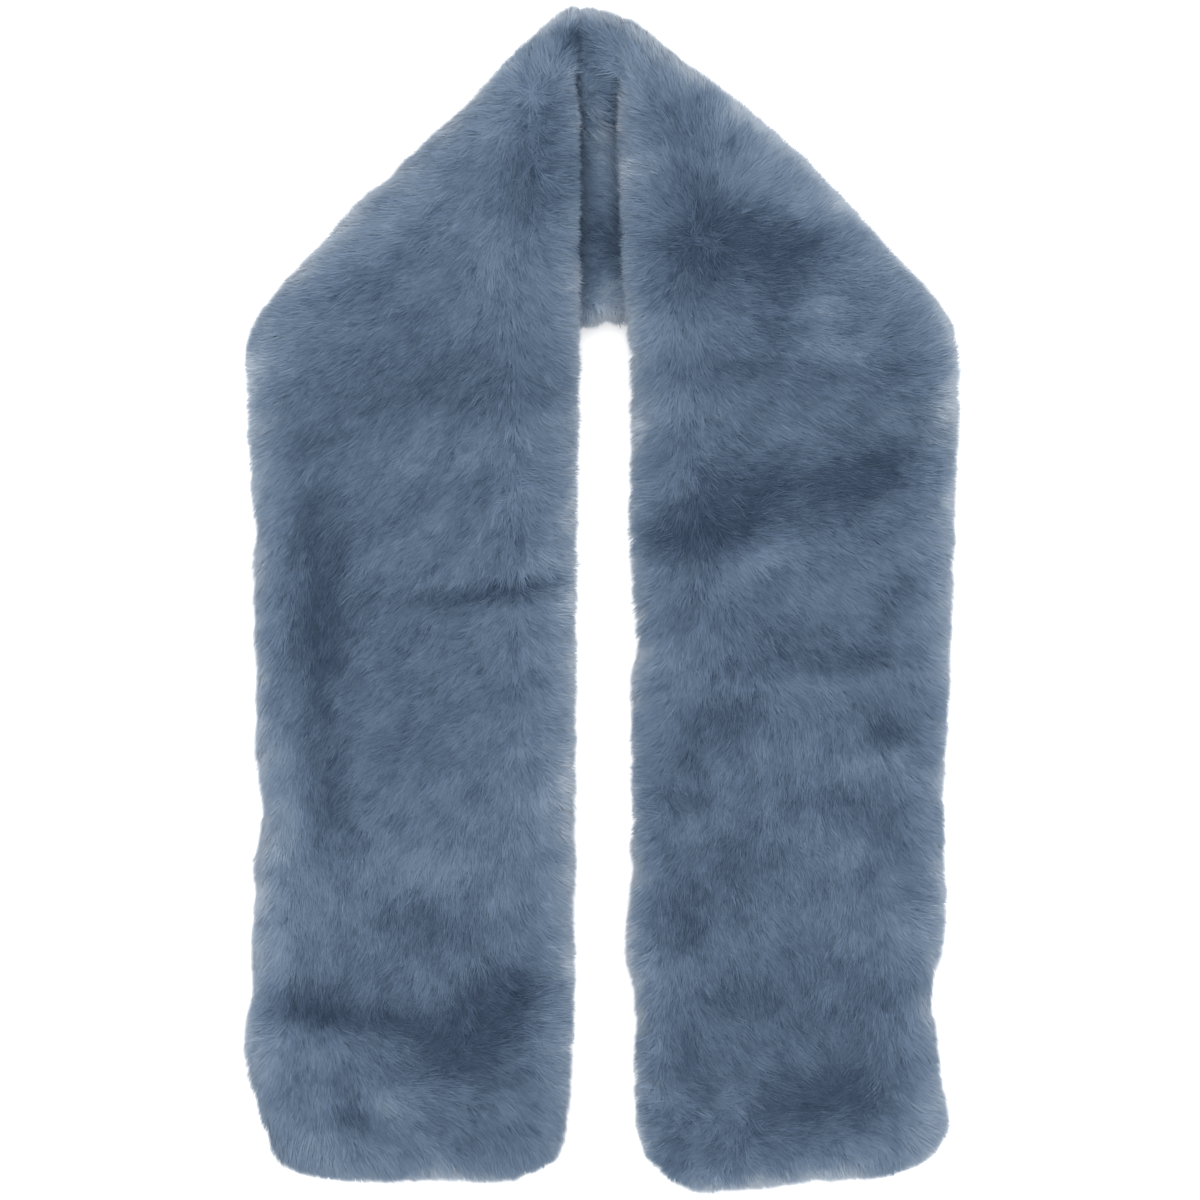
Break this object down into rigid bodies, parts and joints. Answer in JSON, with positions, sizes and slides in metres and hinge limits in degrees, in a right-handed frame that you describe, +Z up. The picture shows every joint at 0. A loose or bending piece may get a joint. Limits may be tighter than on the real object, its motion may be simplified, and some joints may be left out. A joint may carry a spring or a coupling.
{
  "type": "fur collar wrap",
  "caption": "Long faux-fur scarf with pile on both sides, laid flat with each end folded down on the bias over the neck stretch.",
  "frame": {"origin": "on the surface it lies on, under the middle of the folded wrap", "axes": "+Z up from the surface, +Y from the hems of the tails to the neck, +X to the right seen from above"},
  "size_m": [0.3948, 0.6564, 0.0534],
  "materials": {
    "fur": "slate-blue faux fur, long soft pile, dull sheen"
  },
  "bodies": {
    "root": {"left_tail_face": "fur", "left_tail_back": "fur", "right_tail_face": "fur", "right_tail_back": "fur", "neck_face": "fur", "neck_back": "fur"}
  },
  "joints": []
}
